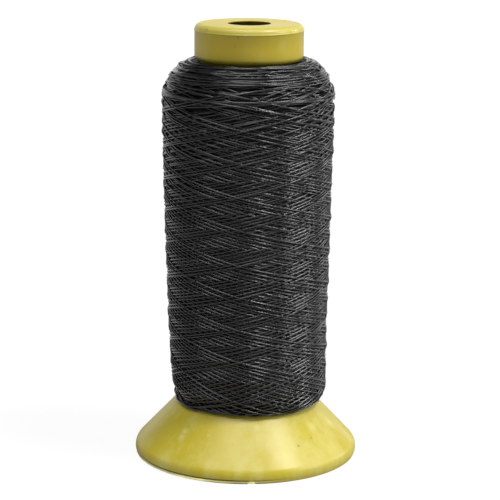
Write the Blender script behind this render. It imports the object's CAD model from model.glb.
import math

import bpy
import numpy as np
from mathutils import Matrix, Vector


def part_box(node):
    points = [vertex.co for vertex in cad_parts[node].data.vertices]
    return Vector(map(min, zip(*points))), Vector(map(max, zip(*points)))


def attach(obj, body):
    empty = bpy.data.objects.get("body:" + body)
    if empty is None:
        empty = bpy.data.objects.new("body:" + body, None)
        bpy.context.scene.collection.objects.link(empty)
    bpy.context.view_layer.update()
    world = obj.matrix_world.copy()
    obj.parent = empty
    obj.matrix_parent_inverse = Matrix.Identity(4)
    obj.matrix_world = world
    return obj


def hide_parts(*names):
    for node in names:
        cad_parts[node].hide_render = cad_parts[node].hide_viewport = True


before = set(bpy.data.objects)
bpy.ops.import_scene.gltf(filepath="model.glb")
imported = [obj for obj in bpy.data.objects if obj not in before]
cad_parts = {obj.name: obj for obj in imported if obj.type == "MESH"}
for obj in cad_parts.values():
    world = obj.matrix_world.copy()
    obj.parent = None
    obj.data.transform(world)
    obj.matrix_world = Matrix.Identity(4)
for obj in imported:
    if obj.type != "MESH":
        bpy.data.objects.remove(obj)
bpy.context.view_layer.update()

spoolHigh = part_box("spool_body")[1]
mm = 0.001


def clearSelection():
    if bpy.context.object and bpy.context.object.mode != "OBJECT":
        bpy.ops.object.mode_set(mode="OBJECT")
    bpy.ops.object.select_all(action="DESELECT")


def finishPiece(piece, name, material, *replaced):
    piece.name = name
    piece.data.name = name
    piece.data.materials.clear()
    piece.data.materials.append(material)
    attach(piece, "root")
    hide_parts(*replaced)
    return piece


def arcPoints(centre, radius, startAngle, endAngle, steps):     # [r, z] points on a round stretch
    points = []
    for i in range(steps + 1):
        angle = math.radians(startAngle + (endAngle - startAngle) * i / steps)
        points.append((centre[0] + radius * math.cos(angle), centre[1] + radius * math.sin(angle)))
    return points


def turnOutline(outline, segments):             # a ring extruded along a closed [r, z] outline
    clearSelection()
    bpy.ops.mesh.primitive_circle_add(vertices=segments, radius=outline[0][0], location=(0, 0, outline[0][1]))
    bpy.ops.object.transform_apply(location=True)
    piece = bpy.context.object
    bpy.ops.object.mode_set(mode="EDIT")
    bpy.ops.mesh.select_mode(type="EDGE")
    bpy.ops.mesh.select_all(action="SELECT")
    for fromRing, toRing in zip(outline[:-1], outline[1:]):
        bpy.ops.mesh.extrude_edges_move(TRANSFORM_OT_translate={"value": (0, 0, toRing[1] - fromRing[1])})
        scale = toRing[0] / fromRing[0]
        bpy.ops.transform.resize(value=(scale, scale, 1), center_override=(0, 0, toRing[1]))
    bpy.ops.mesh.select_all(action="DESELECT")
    bpy.ops.mesh.select_non_manifold()
    bpy.ops.mesh.bridge_edge_loops()            # the last ring meets the first
    bpy.ops.mesh.select_all(action="SELECT")
    bpy.ops.mesh.remove_doubles(threshold=0.001 * mm)
    bpy.ops.mesh.normals_make_consistent(inside=False)
    bpy.ops.object.mode_set(mode="OBJECT")
    return piece


class Wire:                                     # a node's socket that can be used in sums
    def __init__(self, tree, socket=None):
        self.tree = tree
        self.socket = socket

    def node(self, kind, settings=None, values=None, out=0):
        made = self.tree.nodes.new(kind)
        for name, value in (settings or {}).items():
            if name == "stops":
                fillRamp(made.color_ramp, value)
            else:
                setattr(made, name, value)
        for name, value in (values or {}).items():
            if isinstance(value, Wire):
                self.tree.links.new(value.socket, made.inputs[name])
            else:
                made.inputs[name].default_value = value
        return Wire(self.tree, made.outputs[out])

    def sum(self, operation, first, second=0.0):
        return self.node("ShaderNodeMath", {"operation": operation}, {0: first, 1: second})

    def __add__(self, other):
        return self.sum("ADD", self, other)

    def __radd__(self, other):
        return self.sum("ADD", other, self)

    def __sub__(self, other):
        return self.sum("SUBTRACT", self, other)

    def __rsub__(self, other):
        return self.sum("SUBTRACT", other, self)

    def __mul__(self, other):
        return self.sum("MULTIPLY", self, other)

    def __rmul__(self, other):
        return self.sum("MULTIPLY", other, self)

    def __truediv__(self, other):
        return self.sum("DIVIDE", self, other)

    def __rtruediv__(self, other):
        return self.sum("DIVIDE", other, self)


def fillRamp(ramp, stops):                      # greys by pairs of place and level
    while len(ramp.elements) < len(stops):
        ramp.elements.new(0.5)
    for element, (place, level) in zip(ramp.elements, stops):
        element.position = place
        element.color = (level, level, level, 1.0)


def startMaterial(name):
    material = bpy.data.materials.new(name)
    material.use_nodes = True
    return material, Wire(material.node_tree), material.node_tree.nodes["Principled BSDF"]


def plug(wire, node, socket):
    wire.tree.links.new(wire.socket, node.inputs[socket])


def blend(wire, factor, first, second):         # two colours by a factor
    return wire.node("ShaderNodeMix", {"data_type": "RGBA"}, {0: factor, 6: first, 7: second}, out=2)


def noise(place, scale, detail, roughness):
    sizes = {"Vector": place, "Scale": scale, "Detail": detail, "Roughness": roughness}
    return place.node("ShaderNodeTexNoise", {}, sizes)


def bump(relief, strength, depth):
    return relief.node("ShaderNodeBump", {}, {"Height": relief, "Strength": strength, "Distance": depth})


def vectorSum(place, operation, other):         # one number from two places
    return place.node("ShaderNodeVectorMath", {"operation": operation}, {0: place, 1: other}, out="Value")


def mask(value, *stops):                        # a grey ramp over a value
    return value.node("ShaderNodeValToRGB", {"stops": stops}, {"Fac": value})


def band(value, start, full, fading, end):      # 1 in the middle of a stretch and 0 past its ends
    return mask(value, (start, 0), (full, 1), (fading, 1), (end, 0))


def limit(value):                               # kept between 0 and 1
    return value.sum("MINIMUM", value.sum("MAXIMUM", value, 0.0), 1.0)


view = {
    "distance": 717.4 * mm,
    "height": 241.6 * mm,
    "pitchDown": 12.78,
    "roll": 0.52,
    "lens": 139.4,
    "sensorWidth": 36.0,
    "shift": 0.0056,
}
lamps = {                                       # where each shines from, strength, width in degrees
    "topLight": ((-0.14, -0.20, 1.0), 1.68, 36.0),
    "sideLight": ((0.50, -0.20, 0.90), 1.74, 16.0),
    "fillLight": ((0.87, -0.20, 0.42), 0.80, 16.0),
    "edgeLight": ((0.90, 0.42, 0.30), 0.50, 10.0),
}
studio = {
    "ambient": 0.12,               # what the world adds to the light on the object
    "room": 0.07,                  # how bright the dim side of the room is in a reflection; the backdrop is 1
    "boxToRight": 1.6,             # how fast the soft box brightens towards the right
    "boxToBack": 0.2,
    "boxStart": 0.1,
    "boxHeight": 0.75,             # how far up the middle of the soft box is: 1 is straight up
    "boxFade": 2.2,                # how fast it fades above and below that
    "backdropEdge": 3.0,           # how sharply the backdrop begins
    "floorColour": (0.45, 0.45, 0.45, 1.0),
    "floorRoughness": 0.8,
    "floorShine": 0.1,
    "floorGlow": 0.78,             # share of white in what the camera sees of the floor
    "glow": 1.16,
    "floorSize": 8.0,
}


def addCamera():
    bpy.ops.object.camera_add(location=(0, -view["distance"], view["height"]))
    camera = bpy.context.object
    tilt = Matrix.Rotation(math.radians(90 - view["pitchDown"]), 4, "X")
    roll = Matrix.Rotation(math.radians(view["roll"]), 4, "Z")
    camera.matrix_world = Matrix.Translation(camera.location) @ tilt @ roll
    camera.data.sensor_width = view["sensorWidth"]
    camera.data.lens = view["lens"]
    camera.data.shift_x = view["shift"]
    camera.data.clip_start = 10 * mm
    bpy.context.scene.camera = camera


def addLamps():
    for name, (place, strength, width) in lamps.items():
        bpy.ops.object.light_add(type="SUN", location=place)
        lamp = bpy.context.object
        lamp.name = name
        lamp.data.energy = strength
        lamp.data.angle = math.radians(width)
        lamp.rotation_euler = Vector(place).to_track_quat("Z", "Y").to_euler()


def addWorld():                                 # white to the camera, a soft box and backdrop in reflections
    s = studio
    world = bpy.data.worlds.new("studio")
    bpy.context.scene.world = world
    world.use_nodes = True
    wire = Wire(world.node_tree)
    background = world.node_tree.nodes["Background"]
    background.inputs["Color"].default_value = (1.0, 1.0, 1.0, 1.0)
    rays = ["Is Camera Ray", "Is Glossy Ray", "Is Transmission Ray"]
    camera, glossy, clear = [wire.node("ShaderNodeLightPath", out=ray) for ray in rays]
    way = wire.node("ShaderNodeTexCoord", out="Generated")
    right, back, up = [wire.node("ShaderNodeSeparateXYZ", {}, {"Vector": way}, out=axis) for axis in "XYZ"]
    softBox = right * s["boxToRight"] + back * s["boxToBack"] - s["boxStart"]
    softBox = softBox - wire.sum("ABSOLUTE", up - s["boxHeight"]) * s["boxFade"]
    backdrop = (back - up) * s["backdropEdge"] - 1.0
    mirrored = glossy * (limit(wire.sum("MAXIMUM", softBox, backdrop)) * (1.0 - s["room"]) + s["room"])
    seen = wire.sum("MAXIMUM", wire.sum("MAXIMUM", camera, clear), mirrored)
    plug(wire.sum("MAXIMUM", seen, s["ambient"]), background, "Strength")


def addFloor():
    bpy.ops.mesh.primitive_plane_add(size=studio["floorSize"], location=(0, 0, 0))
    floor = bpy.context.object
    floor.name = "floor"
    material, wire, shader = startMaterial("paleFloor")
    shader.inputs["Base Color"].default_value = studio["floorColour"]
    shader.inputs["Roughness"].default_value = studio["floorRoughness"]
    shader.inputs["Specular IOR Level"].default_value = studio["floorShine"]
    glow = wire.node("ShaderNodeEmission", values={"Strength": studio["glow"]})
    seen = wire.node("ShaderNodeLightPath", out="Is Camera Ray")
    lit = Wire(material.node_tree, shader.outputs[0])
    mixed = wire.node("ShaderNodeMixShader", values={0: seen * studio["floorGlow"], 1: lit, 2: glow})
    plug(mixed, material.node_tree.nodes["Material Output"], "Surface")
    floor.data.materials.append(material)


addCamera()
addLamps()
addWorld()
addFloor()
bpy.context.scene.view_settings.view_transform = "Standard"
print("stage: camera, light and floor")


spool = {
    "segments": 360,
    "height": spoolHigh.z,
    "footRadius": spoolHigh.x,
    "headRadius": 20.3 * mm,
    "headHeight": 13.6 * mm,
    "pinHoleRadius": 8.05 * mm,
    "barrelTopRadius": 18.2 * mm,
    "barrelFootRadius": 18.6 * mm,
    "wall": 1.6 * mm,
    "holeEdge": 0.30 * mm,         # how thick the head is at the edge of its hole
    "holeTaper": 2.5 * mm,         # how far from the hole it has its full wall
    "holeRound": 0.1 * mm,
    "insideRound": 1.2 * mm,       # of the head's inner corner
    "flareSlope": 47.0,            # degrees above the horizontal
    "flareHeight": 3.9 * mm,       # where the slope would meet the side of the foot
    "flareSteps": 14,
    "footRound": 4.5 * mm,
    "flareFillet": 4.0 * mm,
    "lipHeight": 1.4 * mm,
    "lipInset": 0.55 * mm,         # how far the lip stands back under the rounded rim
    "lipShape": [(0.12, 0.0), (0.03, 0.15), (0.0, 0.55), (0.0, 0.95), (0.08, 1.15)],    # mm inwards and up
    "lipGroove": 0.3 * mm,
    "grooveLow": 1.28 * mm,
    "grooveHigh": 1.45 * mm,
    "headRound": 2.2 * mm,
    "bead": 0.18 * mm,             # the fine line where the two halves of the mould met
    "beadShape": [(0.0, -0.55), (0.4, -0.42), (1.0, -0.28), (1.0, -0.08), (0.3, 0.05)],  # share of it, mm up
    "smoothInset": 0.5 * mm,       # how far the lip stands back where it is smooth
    "smoothSlope": 0.3,
    "flash": 1.15 * mm,            # how far the trimmed lip stands proud where it is roughest
    "flashFrom": 0.05 * mm,        # height where it begins to stand out
    "flashRise": 0.45 * mm,
    "flashTo": 1.45 * mm,
    "flashFall": 0.9 * mm,
    "flashSide": 234.0,            # degrees round from +X to its roughest place
    "flashNarrow": 12,             # a higher number keeps it to less of the edge
    "ragged": [(9, 1, 0.15), (31, 0, 0.08), (67, 2, 0.06)],     # waves round the edge: count, start and share
    "gateSide": 273.3,             # where the moulding was cut from its runner
    "gateWidth": 0.022,            # radians
    "gateHeight": 0.75 * mm,
    "wobble": 0.10 * mm,           # how far the foot is from round
    "wobbleHeight": 20 * mm,       # where that has died out
}
flareNormal = 90 - spool["flareSlope"]          # degrees above the horizontal


def flareOuter(radius):                         # height of the flare's outer face
    return spool["flareHeight"] + (spool["footRadius"] - radius) * math.tan(math.radians(spool["flareSlope"]))


def roundOff(radius):                           # from the flare's corner to the centre of a round, in height
    return radius * math.tan(math.radians(flareNormal / 2))


def footStations():                             # [r, z] rings up the lip, its groove, the rim and the flare
    s = spool
    lipR = s["footRadius"] - s["lipInset"]
    barrelR = s["barrelFootRadius"]
    rimCentre = (s["footRadius"] - s["footRound"], s["flareHeight"] - roundOff(s["footRound"]))
    filletCentre = (barrelR + s["flareFillet"], flareOuter(barrelR) + roundOff(s["flareFillet"]))
    rings = [(lipR - inwards * mm, up * mm) for inwards, up in s["lipShape"]]
    rings += [(lipR - s["lipGroove"], z) for z in (s["grooveLow"], s["grooveHigh"])]
    rings += arcPoints(rimCentre, s["footRound"], -9, flareNormal, 10)
    fillet = arcPoints(filletCentre, s["flareFillet"], 180 + flareNormal, 180, 5)
    (lastR, lastZ), (nextR, nextZ) = rings[-1], fillet[0]
    for i in range(1, s["flareSteps"]):
        share = i / s["flareSteps"]
        rings.append((lastR + (nextR - lastR) * share, lastZ + (nextZ - lastZ) * share))
    return rings + fillet


def headStations():                             # [r, z] rings from the top of the barrel to the pin hole
    s = spool
    headR, holeR, topZ = s["headRadius"], s["pinHoleRadius"], s["height"]
    headZ = topZ - s["headHeight"]
    neck = headR - s["barrelTopRadius"]
    beadZ = topZ - s["headRound"]
    rings = [(s["barrelTopRadius"], headZ)]
    rings += arcPoints((s["barrelTopRadius"], headZ + neck), neck, -80, 0, 7)
    rings += [(headR, headZ + 0.4 * s["headHeight"])]
    rings += [(headR + share * s["bead"], beadZ + up * mm) for share, up in s["beadShape"]]
    rings += arcPoints((headR - s["headRound"], beadZ), s["headRound"], 6, 90, 9)
    rings += [(holeR + 4 * mm, topZ), (holeR + 0.5 * mm, topZ)]
    return rings + arcPoints((holeR + s["holeRound"], topZ - s["holeRound"]), s["holeRound"], 90, 180, 3)


def innerStations():                            # [r, z] rings down the inside, pin hole to foot
    s = spool
    wall, barrelR, barrelTopR = s["wall"], s["barrelFootRadius"], s["barrelTopRadius"]
    headZ = s["height"] - s["headHeight"]
    insideTop = s["height"] - wall
    insideR = s["headRadius"] - wall
    throatR = barrelR - 0.3 * wall
    throatZ = flareOuter(throatR + wall / math.cos(math.radians(flareNormal)))
    rimCentre = (s["footRadius"] - s["footRound"], s["flareHeight"] - roundOff(s["footRound"]))
    rings = [(s["pinHoleRadius"], s["height"] - s["holeEdge"])]
    rings += [(s["pinHoleRadius"] + s["holeTaper"], insideTop)]
    rings += arcPoints((insideR - s["insideRound"], insideTop - s["insideRound"]), s["insideRound"], 90, 0, 4)
    rings += [(insideR, headZ + s["headRadius"] - barrelTopR), (barrelTopR, headZ + wall)]
    rings += [(barrelTopR - wall, headZ - 0.4 * mm), (barrelR - wall, flareOuter(barrelR) + 0.9 * wall)]
    rings += [(throatR, throatZ)]
    rings += arcPoints(rimCentre, s["footRound"] - wall, flareNormal, 0, 5)
    return rings + [(s["footRadius"] - wall, 0.0)]


def lipGrowth(radius, angle, z):                # how far the lip grows outwards here, and upwards
    s = spool
    lipR = s["footRadius"] - s["lipInset"]
    side = (0.5 + 0.5 * math.cos(angle - math.radians(s["flashSide"]))) ** s["flashNarrow"]
    ragged = 0.8 + sum(share * math.sin(count * angle + start) for count, start, share in s["ragged"])
    smooth = s["footRadius"] - s["smoothInset"] + s["smoothSlope"] * z
    rising = max(0, z - s["flashFrom"]) / s["flashRise"]
    falling = max(0, s["flashTo"] - z) / s["flashFall"]
    onLip = min(rising, falling) * (radius > lipR - 0.1 * mm)
    outwards = (smooth - radius) * (1 - side) * min(1, z / (0.2 * mm)) + s["flash"] * side * ragged * onLip
    outwards -= s["lipGroove"] * side * (radius < lipR - 0.2 * mm)
    fromGate = angle - math.radians(s["gateSide"]) + 2 * math.pi
    gate = s["gateHeight"] * math.exp(-(fromGate / s["gateWidth"]) ** 2)
    return outwards + gate * onLip, gate * (z < 0.5 * mm)


def roughenLip(piece):                          # the trimmed lip, the gate's nick, and a foot out of round
    s = spool
    for vertex in piece.data.vertices:
        x, y, z = vertex.co
        radius, angle = math.hypot(x, y), math.atan2(y, x)
        fading = max(0, 1 - z / s["wobbleHeight"]) * (radius / s["footRadius"])
        grow = s["wobble"] * math.sin(2 * angle + 0.7) * fading
        if z < s["lipHeight"] + 0.1 * mm and radius > s["footRadius"] - 1.1 * mm:
            outwards, upwards = lipGrowth(radius, angle, z)
            grow += outwards
            vertex.co.z += upwards
        vertex.co.x += grow * math.cos(angle)
        vertex.co.y += grow * math.sin(angle)


def buildSpool(material):
    piece = turnOutline(footStations() + headStations() + innerStations(), spool["segments"])
    roughenLip(piece)
    bpy.ops.object.shade_smooth_by_angle(angle=math.radians(32))
    return finishPiece(piece, "moulded_spool", material, "spool_body")


plastic = {
    "colour": (0.585, 0.48, 0.038, 1.0),
    "deep": (0.53, 0.425, 0.029, 1.0),          # clouds in it
    "side": (0.63, 0.480, 0.029, 1.0),          # the head's side
    "pale": (0.72, 0.66, 0.24, 1.0),            # rubbed places
    "cut": (0.78, 0.70, 0.24, 1.0),             # where the lip was trimmed
    "dirt": (0.05, 0.04, 0.010, 1.0),           # in the groove above it
    "speck": (0.20, 0.15, 0.03, 1.0),
    "roughness": 0.34,
    "uneven": 0.20,                             # how much that varies
    "rubbedRough": 0.15,                        # added where it is rubbed
    "shine": 0.45,
    "cloud": (45.0, 4.0, 0.6),                  # scale, detail and roughness of each noise
    "grain": (900.0, 3.0, 0.5),
    "streak": (85.0, 6.0, 0.65),
    "streakStretch": (1.0, 1.0, 0.3),           # streaks run upwards
    "dust": (420.0, 1.0, 0.5),
    "relief": (0.6, 0.12, 0.3),                 # shares of cloud, grain and streak
    "reliefStrength": 0.3,
    "reliefDepth": 0.12 * mm,
    "mottled": 0.5,                             # how strongly each of these shows
    "wornEdge": 0.35,
    "rubbed": 0.22,
    "rubbedLow": 0.45,                          # more of it on the flare
    "grimy": 0.9,
    "dusty": 0.35,
    "rubbedHeight": 24 * mm,                    # the flare ends here
    "rubbedEdge": 200.0,                        # how sharply that shows
    "trimmedEdge": 60.0,                        # how sharply the trimmed side begins
    "trimmedStart": 1.25,
    "sideBand": (0.930, 0.934, 0.980, 0.984),   # shares of the height
    "edgeBand": (0.984, 0.990, 0.996, 1.0),
    "lipScale": 2.4 * mm,                       # the height that counts as 1 in the next two
    "trimmedBand": (0.12, 0.19, 0.47, 0.52),
    "grimyStops": [(0.16, 1), (0.20, 0), (0.48, 0), (0.54, 1), (0.62, 1), (0.70, 0)],
    "scuffs": [                                 # x, y, z and size in mm, strength
        (-22.9, -23.7, 14.3, 2.0, 0.9),
        (-23.9, -24.8, 12.4, 2.2, 0.8),
        (-13.7, -29.5, 14.6, 1.0, 0.5),
        (-14.7, -37.5, 6.2, 3.0, 0.25),
        (4.6, -29.3, 17.6, 1.8, 0.6),
        (-2.1, -31.2, 15.9, 1.8, 0.3),
        (24.9, -20.0, 15.2, 3.0, 0.6),
        (31.9, -9.4, 13.8, 3.0, 0.6),
        (2.4, -42.4, 0.8, 1.4, 1.0),
        (4.7, -19.7, 154.9, 3.0, 0.2),
        (11.9, -16.4, 158.6, 3.0, 0.2),
    ],
    "stains": [
        (19.8, -29.9, 11.0, 0.7, 1.0),
        (24.6, -24.4, 12.3, 0.6, 0.8),
        (18.6, -8.4, 165.0, 0.9, 0.6),
    ],
}


def marks(wire, place, listed):                 # soft round marks at some places
    total = 0.0
    for x, y, z, size, strength in listed:
        centre = (x * mm, y * mm, z * mm)
        away = vectorSum(place, "DISTANCE", centre)
        spot = wire.sum("MAXIMUM", 1.0 - away / (size * mm), 0.0) * strength
        total = wire.sum("MAXIMUM", spot, total)
    return total


def trimmedSide(place):                         # 1 on the side of the foot where the lip is roughest
    angle = math.radians(spool["flashSide"])
    way = (math.cos(angle), math.sin(angle), 0.0)
    return limit(vectorSum(place, "DOT_PRODUCT", way) * plastic["trimmedEdge"] - plastic["trimmedStart"])


def spoolPlastic():
    p = plastic
    material, wire, shader = startMaterial("yellowMoulding")
    shader.inputs["Specular IOR Level"].default_value = p["shine"]
    place = wire.node("ShaderNodeTexCoord", out="Object")
    upright = wire.node("ShaderNodeMapping", {}, {"Vector": place, "Scale": p["streakStretch"]})
    height = wire.node("ShaderNodeSeparateXYZ", {}, {"Vector": place}, out="Z")
    cloud = noise(place, *p["cloud"])
    grain = noise(place, *p["grain"])
    streak = noise(upright, *p["streak"])
    dust = mask(noise(place, *p["dust"]), (0.765, 0), (0.785, 1))

    mottle = mask(cloud, (0.35, 0), (0.65, 1))
    base = blend(wire, mottle * p["mottled"], p["colour"], p["deep"])
    share = height * (1 / spool["height"])
    base = blend(wire, band(share, *p["sideBand"]), base, p["side"])
    base = blend(wire, band(share, *p["edgeBand"]) * p["wornEdge"], base, p["pale"])
    onFlare = limit((p["rubbedHeight"] - height) * p["rubbedEdge"])
    rubbed = mask(streak, (0.46, 0), (0.74, 1)) * (onFlare * p["rubbedLow"] + p["rubbed"])
    base = blend(wire, rubbed, base, p["pale"])

    trimmed = trimmedSide(place)
    upLip = height * (1 / p["lipScale"])
    base = blend(wire, band(upLip, *p["trimmedBand"]) * trimmed, base, p["cut"])
    base = blend(wire, mask(upLip, *p["grimyStops"]) * trimmed * p["grimy"], base, p["dirt"])

    base = blend(wire, dust * p["dusty"], base, p["speck"])
    base = blend(wire, marks(wire, place, p["scuffs"]) * (streak * 1.4 + 0.2), base, p["pale"])
    base = blend(wire, marks(wire, place, p["stains"]), base, p["speck"])
    plug(base, shader, "Base Color")
    roughness = cloud * p["uneven"] + (p["roughness"] - p["uneven"] / 2) + rubbed * p["rubbedRough"]
    plug(roughness, shader, "Roughness")
    ofCloud, ofGrain, ofStreak = p["relief"]
    relief = cloud * ofCloud + grain * ofGrain + streak * ofStreak
    plug(bump(relief, p["reliefStrength"], p["reliefDepth"]), shader, "Normal")
    return material


moulding = buildSpool(spoolPlastic())
print("stage: spool,", len(moulding.data.vertices), "vertices")


winding = {
    "thread": 0.60 * mm,           # diameter
    "turnsPerPass": 2.8783,        # each pass lies beside the one eight strokes before it
    "passes": 264,
    "perPiece": 27,                # passes in one piece
    "seed": 7,
    "meanRadius": 31.0 * mm,
    "footRadius": 29.95 * mm,      # of the finished winding, where its side begins
    "topRadius": 32.58 * mm,       # where its shoulder begins
    "bulge": 0.25 * mm,
    "bottom": 20.5 * mm,           # where it meets the flare
    "sideLow": 30.2 * mm,
    "sideHigh": 134.0 * mm,
    "top": 152.5 * mm,
    "squareness": 2.28,            # of the shoulder: 2 is an ellipse
    "corner": 4.5 * mm,
    "dip": 1.2 * mm,               # how far the shoulder sinks again next to the head
    "dipReach": 3.3 * mm,
    "cell": 0.2 * mm,              # of the height map
    "columns": 1000,
    "pointEvery": 1.5 * mm,        # along a strand
    "jitterLow": 2.2 * mm,         # how much the lowest turns vary
    "jitterTop": 1.5 * mm,
    "headGap": 0.4 * mm,           # between the last turn and the head
    "levelGap": 0.6 * mm,          # between the head and the highest place where a strand levels out
    "lowEdge": 0.1 * mm,           # no strand goes past these
    "highEdge": 0.3 * mm,
    "shorten": 21.0 * mm,          # how far down the shoulder the last passes stop
    "shortenBy": 0.35,             # how much of that varies
    "soften": 0.40,                # how gently a strand levels out there, to the drop from the head
    "softest": 0.5 * mm,           # the least of that
    "lowRound": 0.10,              # turns over which the guide slows and turns back
    "highRound": 0.20,
    "slowest": 0.02,               # share of its speed that it keeps there
    "wander": 0.11 * mm,
    "wanderPoints": 14,            # in a pass
    "stray": 0.14 * mm,            # how far a whole pass lies from its place
    "settled": 0.15,               # share of a pass after which its end no longer matters
    "contact": 0.98,               # share of a strand's width that lies on what is below
    "contactPoints": 9,
    "press": 0.42,                 # share of a strand's height that stands above what it is pressed into
    "choices": 6,                  # places that a turn may slip to, of which it takes the lowest
    "late": 10,                    # cells at the end of a pass that are heaped up after the next one is laid
    "evenOut": 1.5 * mm,           # lumps wider than this are pressed flat
    "onTop": 90,                   # percentage of the relief that lies below the finished surface
    "proud": 0.6 * mm,             # the most that a strand stands above that
    "proudTop": 0.2 * mm,          # the same on the shoulder
    "shoulderShare": (0.70, 0.78),              # share of the length where the one becomes the other
    "tuck": 1.2 * mm,              # how deep the thread's end is buried
    "tuckPoints": 40,              # and over how many points
    "hidden": 0.55,                # share of the strands' depth that the layers below them reach up to
    "clear": 0.1 * mm,             # between those and the moulding
    "underSegments": 120,          # of the plain piece for them
    "underEvery": 10,              # cells between its rings
    "tilt": 0.25 * mm,             # how much higher the shoulder's top is towards +X
    "tiltFrom": 138 * mm,
    "tiltOver": 12 * mm,
    "lean": [                      # how far the winding stands towards +X, by height: z and x in mm
        (21, 0.2), (22, 0.5), (23.5, 1.4), (25, 1.8), (27.5, 1.2),
        (30, 0.95), (50, 0.4), (90, 0.05), (130, -0.1), (150, 0.0),
    ],
    "leanFrom": 22 * mm,           # nothing leans nearer to the axis
    "leanOver": 5 * mm,
    "restOver": 5 * mm,            # height in which the winding's foot still follows the flare
}


def windingSurface():                           # the finished surface by its length: r, z and outward normal
    w = winding
    barrelR = spool["barrelTopRadius"]
    points = []
    for angle in np.radians(np.linspace(-90, 0, 25)):           # the rounded foot, on the flare
        points.append((w["footRadius"] - w["corner"] * (1 - math.cos(angle)),
                       w["sideLow"] + (w["sideLow"] - w["bottom"]) * math.sin(angle)))
    for share in np.linspace(0, 1, 60)[1:]:                     # the side
        bulge = w["bulge"] * math.sin(math.pi * share)
        points.append((w["footRadius"] + (w["topRadius"] - w["footRadius"]) * share + bulge,
                       w["sideLow"] + (w["sideHigh"] - w["sideLow"]) * share))
    for angle in np.radians(np.linspace(0, 90, 120)[1:]):       # the shoulder, up to the head
        outwards = math.cos(angle) ** (2 / w["squareness"])
        upwards = math.sin(angle) ** (2 / w["squareness"])
        r = barrelR + (w["topRadius"] - barrelR) * outwards
        dip = w["dip"] * max(0, 1 - (r - spool["headRadius"]) / w["dipReach"])
        points.append((r, w["sideHigh"] + (w["top"] - w["sideHigh"]) * upwards - dip))
    points = np.array([point for point in points if point[0] > spool["headRadius"] + w["thread"] / 2])
    rough = np.concatenate([[0], np.cumsum(np.hypot(*np.diff(points, axis=0).T))])
    length = np.arange(0, rough[-1], w["cell"])
    profile = np.stack([np.interp(length, rough, points[:, k]) for k in (0, 1)], 1)
    slope = np.gradient(profile, length, axis=0)
    normal = np.stack([slope[:, 1], -slope[:, 0]], 1)
    return length, profile, normal / np.linalg.norm(normal, axis=1)[:, None]


def tautHeight(along, needed):                  # a tight strand over what it lies on, round the pack
    bend = along ** 2 / (2 * winding["meanRadius"])
    lifted = needed - bend
    kept = []
    for i in range(len(along)):
        while len(kept) > 1:
            a, b = kept[-2], kept[-1]
            before, ahead = lifted[b] - lifted[a], lifted[i] - lifted[a]
            if before * (along[i] - along[a]) > ahead * (along[b] - along[a]):
                break
            kept.pop()
        kept.append(i)
    return np.interp(along, along[kept], lifted[kept]) + bend


def guideTravel(count, startRound, endRound):   # the guide's way along its stroke, slow at both ends
    turn = np.linspace(0, winding["turnsPerPass"], count)
    speed = np.minimum(turn / startRound, (winding["turnsPerPass"] - turn) / endRound)
    speed = np.clip(speed, winding["slowest"], 1)
    way = np.concatenate([[0], np.cumsum((speed[1:] + speed[:-1]) / 2)])
    return turn, way / way[-1]


def lowestOf(places, heap):                     # a turn slips to where the pack is lowest
    rows = (np.array(places) / winding["cell"]).astype(int)
    heights = [heap[max(0, row - 2):row + 3].mean() for row in rows]
    return places[int(np.argmin(heights))]


def guidePass(rng, upward, start, end, total, count):           # a pass as the guide lays it, end to end
    w = winding
    rounds = (w["lowRound"], w["highRound"]) if upward else (w["highRound"], w["lowRound"])
    turn, share = guideTravel(count, *rounds)
    low, high = 0.6 * w["jitterLow"], total - w["headGap"] - 0.5 * w["jitterTop"]       # its ends on average
    first, last = (low, high) if upward else (high, low)
    leaving = np.clip(1 - share / w["settled"], 0, 1) ** 2
    nearing = np.clip(1 - (1 - share) / w["settled"], 0, 1) ** 2
    u = first + (last - first) * share + rng.normal(0, w["stray"])
    return turn, share, u + (start - u) * leaving + (end - u) * nearing


def swayed(rng, u, share, total):               # a strand is never quite straight
    w = winding
    bends = rng.normal(0, w["wander"], w["wanderPoints"])
    sway = np.interp(np.arange(len(u)), np.linspace(0, len(u), w["wanderPoints"]), bends)
    return np.clip(u + sway * np.minimum(1, 20 * share * (1 - share)), w["lowEdge"], total - w["highEdge"])


def cellsBelow(u, phi, r, across, rows):        # the map's cells under a strand, and its length so far
    w = winding
    climb, around = np.gradient(u), np.gradient(phi) * 2 * math.pi * r
    step = np.hypot(climb, around)
    cells = []
    for q in across:
        row = np.clip(((u + q * around / step) / w["cell"]).astype(int), 0, rows - 1)
        column = (phi - q * climb / step / (2 * math.pi * r)) * w["columns"]
        cells.append((row, column.astype(int) % w["columns"]))
    return cells, np.cumsum(step)


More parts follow.
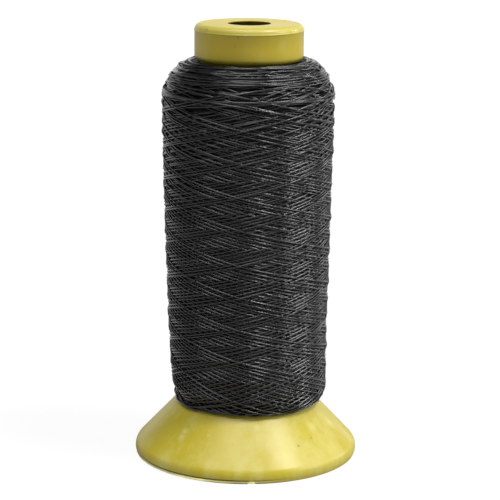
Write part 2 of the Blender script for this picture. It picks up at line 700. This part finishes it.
def layThread(surface):                         # lays each pass on what lies there already
    w = winding
    rng = np.random.default_rng(w["seed"])
    length, profile = surface[:2]
    total = length[-1]
    half = w["thread"] / 2
    heap = np.zeros((len(length), w["columns"]))
    across = np.linspace(-1, 1, w["contactPoints"]) * half * w["contact"]
    cap = np.sqrt(half ** 2 - across ** 2) * w["press"]
    count = int(w["turnsPerPass"] * 2 * math.pi * w["meanRadius"] / w["cell"])
    late = w["late"]
    carry, turned, strands = [], 0.0, []
    place = rng.uniform(0.2, 1) * w["jitterLow"]
    for number in range(w["passes"]):
        upward = number % 2 == 0
        if upward:                              # up the shoulder it levels out until the next pass
            end = total - w["headGap"] - rng.uniform(0, 1) * w["jitterTop"]
            age = number / w["passes"] + rng.uniform(-1, 1, w["choices"]) * w["shortenBy"]
            level = lowestOf(total - w["levelGap"] - (1 - abs(1 - abs(age))) * w["shorten"], heap)
            soften = w["softest"] + w["soften"] * (total - level)
            level += soften / 2
        else:
            end = lowestOf(rng.uniform(0.2, 1, w["choices"]) * w["jitterLow"], heap)
        turn, share, u = guidePass(rng, upward, place, end, total, count)
        u = (u + level - np.sqrt((u - level) ** 2 + soften ** 2)) / 2
        u = swayed(rng, u, share, total)
        phi = turned + turn
        turned, place = phi[-1], end
        cells, along = cellsBelow(u, phi, np.interp(u, length, profile[:, 0]), across, len(length))
        needed = np.max([heap[cell] + c for cell, c in zip(cells, cap)], axis=0)
        if strands:                             # the strand goes on from where it was
            needed[0] = strands[-1]["height"][-1]
            needed[1:6] = np.minimum(needed[1:6], needed[0])
        height = tautHeight(along, needed)
        for cell, top in carry:
            np.maximum.at(heap, cell, top)
        carry = []
        for (row, column), c in zip(cells, cap):
            np.maximum.at(heap, (row[:-late], column[:-late]), height[:-late] + c)
            carry.append(((row[-late:], column[-late:]), height[-late:] + c))
        strands.append({"phi": phi, "u": u, "height": height})
    return strands, heap


def finishedDepth(heap):                        # how thick the laid strands are, without their own relief
    w = winding
    edge = 80                                   # cells past each end, so that one doesn't blur into the other
    heap = np.pad(heap, ((edge, edge), (0, 0)), mode="edge")
    up = np.fft.fftfreq(heap.shape[0], w["cell"])
    around = np.fft.fftfreq(heap.shape[1], 2 * math.pi * w["meanRadius"] / w["columns"])
    blur = np.exp(-2 * (math.pi * w["evenOut"]) ** 2 * (up[:, None] ** 2 + around ** 2))
    smooth = np.fft.ifft2(np.fft.fft2(heap) * blur).real
    return (smooth + np.percentile(heap - smooth, w["onTop"]))[edge:-edge]


def leanOver(r, z, angle):                      # the winding isn't quite true to the spool
    w = winding
    leanZ, leanX = np.array(w["lean"]).T * mm
    aside = np.interp(z, leanZ, leanX) * np.cos(angle) * np.clip((r - w["leanFrom"]) / w["leanOver"], 0, 1)
    low = np.clip(1.1 - (z - w["bottom"]) / w["restOver"], 0, 1)
    high = np.clip((z - w["tiltFrom"]) / w["tiltOver"], 0, 1)
    slope = math.tan(math.radians(spool["flareSlope"]))
    return r + aside, z - aside * low * slope + w["tilt"] * np.cos(angle) * high


def strandRoute(group, surface, depth, turnBy):                 # [x, y, z, 1] points along some passes
    w = winding
    length, profile, normal = surface
    every = int(w["pointEvery"] / w["cell"])
    points = []
    for strand in group:
        u, phi = strand["u"][::every], strand["phi"][::every]
        column = (phi * w["columns"]).astype(int) % w["columns"]
        lift = strand["height"][::every] - depth[(u / w["cell"]).astype(int), column]
        proud = np.interp(u, np.array(w["shoulderShare"]) * length[-1], [w["proud"], w["proudTop"]])
        lift = np.where(lift > 0, proud * np.tanh(lift / proud), lift) - w["thread"] / 2
        r = np.interp(u, length, profile[:, 0]) + np.interp(u, length, normal[:, 0]) * lift
        z = np.interp(u, length, profile[:, 1]) + np.interp(u, length, normal[:, 1]) * lift
        angle = (phi + turnBy) * 2 * math.pi
        r, z = leanOver(r, z, angle)
        points.append(np.stack([r * np.cos(angle), r * np.sin(angle), z, np.ones(len(z))], 1))
    return np.concatenate(points)


def buildStrand(route, name, material):         # a tube along a route, with its length in metres as its U
    clearSelection()
    bpy.ops.curve.primitive_bezier_curve_add()
    curve = bpy.context.object.data
    curve.splines.clear()
    curve.dimensions = "3D"
    curve.bevel_depth = winding["thread"] / 2
    curve.bevel_resolution = 1
    curve.use_fill_caps = True
    spline = curve.splines.new("POLY")
    spline.points.add(len(route) - 1)
    spline.points.foreach_set("co", route.ravel())
    bpy.ops.object.convert(target="MESH")
    piece = bpy.context.object
    bpy.ops.object.mode_set(mode="EDIT")
    bpy.ops.mesh.select_all(action="SELECT")
    bpy.ops.mesh.remove_doubles(threshold=0.001 * mm)
    bpy.ops.object.mode_set(mode="OBJECT")
    bpy.ops.object.shade_smooth()
    stretch = np.linalg.norm(np.diff(route[:, :3], axis=0), axis=1).sum()
    uv = np.empty(len(piece.data.loops) * 2)
    piece.data.uv_layers[0].data.foreach_get("uv", uv)
    uv[0::2] *= stretch
    piece.data.uv_layers[0].data.foreach_set("uv", uv)
    finishPiece(piece, name, material, "thread_pack", "thread_turns")
    return stretch


def buildWinding(strands, surface, depth, material):
    w = winding
    turnBy = 0.25 - strands[-1]["phi"][-1]      # the thread's end is at the back
    ending = w["tuckPoints"] * int(w["pointEvery"] / w["cell"])
    strands[-1]["height"][-ending:] -= w["tuck"] * (np.arange(ending) / ending) ** 2
    laid = 0.0
    for first in range(0, len(strands), w["perPiece"]):
        route = strandRoute(strands[first:first + w["perPiece"]], surface, depth, turnBy)
        laid += buildStrand(route, "thread_layers_%d" % (first // w["perPiece"] + 1), material)
    return laid


def buildUnderLayers(surface, depth, material):                 # what only shows between the last strands
    w = winding
    profile, normal = surface[1:]
    gap, topR, footR = w["clear"], spool["barrelTopRadius"], spool["barrelFootRadius"]
    headZ = spool["height"] - spool["headHeight"]
    outer = (profile - normal * depth.mean(axis=1)[:, None] * w["hidden"])[::w["underEvery"]]
    outer[:, 1] = np.maximum(outer[:, 1], [flareOuter(r) + gap for r in outer[:, 0]])
    outer = [tuple(point) for point in outer if point[0] > topR + 2 * gap]
    inner = [(topR + gap, min(outer[-1][1], headZ - 2 * gap)), (footR + gap, flareOuter(footR) + 3 * mm)]
    inner += [(footR + 3 * mm, flareOuter(footR + 3 * mm) + 0.6 * mm)]
    piece = turnOutline(outer + inner, w["underSegments"])
    for vertex in piece.data.vertices:
        x, y, z = vertex.co
        angle = math.atan2(y, x)
        r, z = leanOver(math.hypot(x, y), z, angle)
        vertex.co = (r * math.cos(angle), r * math.sin(angle), z)
    bpy.ops.object.shade_smooth_by_angle(angle=math.radians(40))
    return finishPiece(piece, "thread_under_layers", material, "thread_pack")


thread = {
    "colour": (0.002, 0.002, 0.0019, 1.0),
    "wax": (0.10, 0.10, 0.095, 1.0),            # flecks of it
    "waxed": 0.35,
    "roughness": 0.16,
    "uneven": 0.20,                             # how much that varies
    "shine": 1.0,
    "twist": 3.3 * mm,                          # length of one turn of the plies
    "plies": 3,
    "cloud": (500.0, 3.0, 0.5),                 # scale, detail and roughness of each noise
    "fleck": (1400.0, 2.0, 0.5),
    "relief": (0.8, 0.3),                       # shares of ply and fleck
    "reliefStrength": 0.45,
    "reliefDepth": 0.05 * mm,
}
below = {
    "colour": (0.003, 0.003, 0.003, 1.0),
    "streak": (0.012, 0.012, 0.011, 1.0),
    "roughness": 0.6,
    "shine": 0.2,
    "stretch": (0.25, 0.25, 1.0),               # streaks run round
    "cloud": (1500.0, 2.0, 0.5),
    "reliefStrength": 0.7,
    "reliefDepth": 0.3 * mm,
}


def threadMaterial():
    t = thread
    material, wire, shader = startMaterial("bondedThread")
    shader.inputs["Specular IOR Level"].default_value = t["shine"]
    place = wire.node("ShaderNodeTexCoord", out="Object")
    uv = wire.node("ShaderNodeTexCoord", out="UV")
    along, around = [wire.node("ShaderNodeSeparateXYZ", {}, {"Vector": uv}, out=axis) for axis in "XY"]
    turn = (around + along / t["twist"]) * (2 * math.pi * t["plies"])
    ply = turn.sum("COSINE", turn) * 0.5 + 0.5
    cloud = noise(place, *t["cloud"])
    fleck = noise(place, *t["fleck"])
    wax = mask(fleck, (0.70, 0), (0.80, 1))
    plug(blend(wire, wax * t["waxed"], t["colour"], t["wax"]), shader, "Base Color")
    plug(cloud * t["uneven"] + (t["roughness"] - t["uneven"] / 2), shader, "Roughness")
    ofPly, ofFleck = t["relief"]
    plug(bump(ply * ofPly + fleck * ofFleck, t["reliefStrength"], t["reliefDepth"]), shader, "Normal")
    return material


def underMaterial():
    b = below
    material, wire, shader = startMaterial("threadBelow")
    shader.inputs["Specular IOR Level"].default_value = b["shine"]
    shader.inputs["Roughness"].default_value = b["roughness"]
    place = wire.node("ShaderNodeTexCoord", out="Object")
    flat = wire.node("ShaderNodeMapping", {}, {"Vector": place, "Scale": b["stretch"]})
    cloud = noise(flat, *b["cloud"])
    plug(blend(wire, cloud, b["colour"], b["streak"]), shader, "Base Color")
    plug(bump(cloud, b["reliefStrength"], b["reliefDepth"]), shader, "Normal")
    return material


surface = windingSurface()
strands, heap = layThread(surface)
depth = finishedDepth(heap)
bare = (heap < 0.05 * mm).mean()
print("stage: thread laid, heap %.2f mm deep, %.3f of it bare" % (heap.mean() / mm, bare))
print("stage: winding, %.0f m of thread" % buildWinding(strands, surface, depth, threadMaterial()))
buildUnderLayers(surface, depth, underMaterial())
print("stage: layers below")
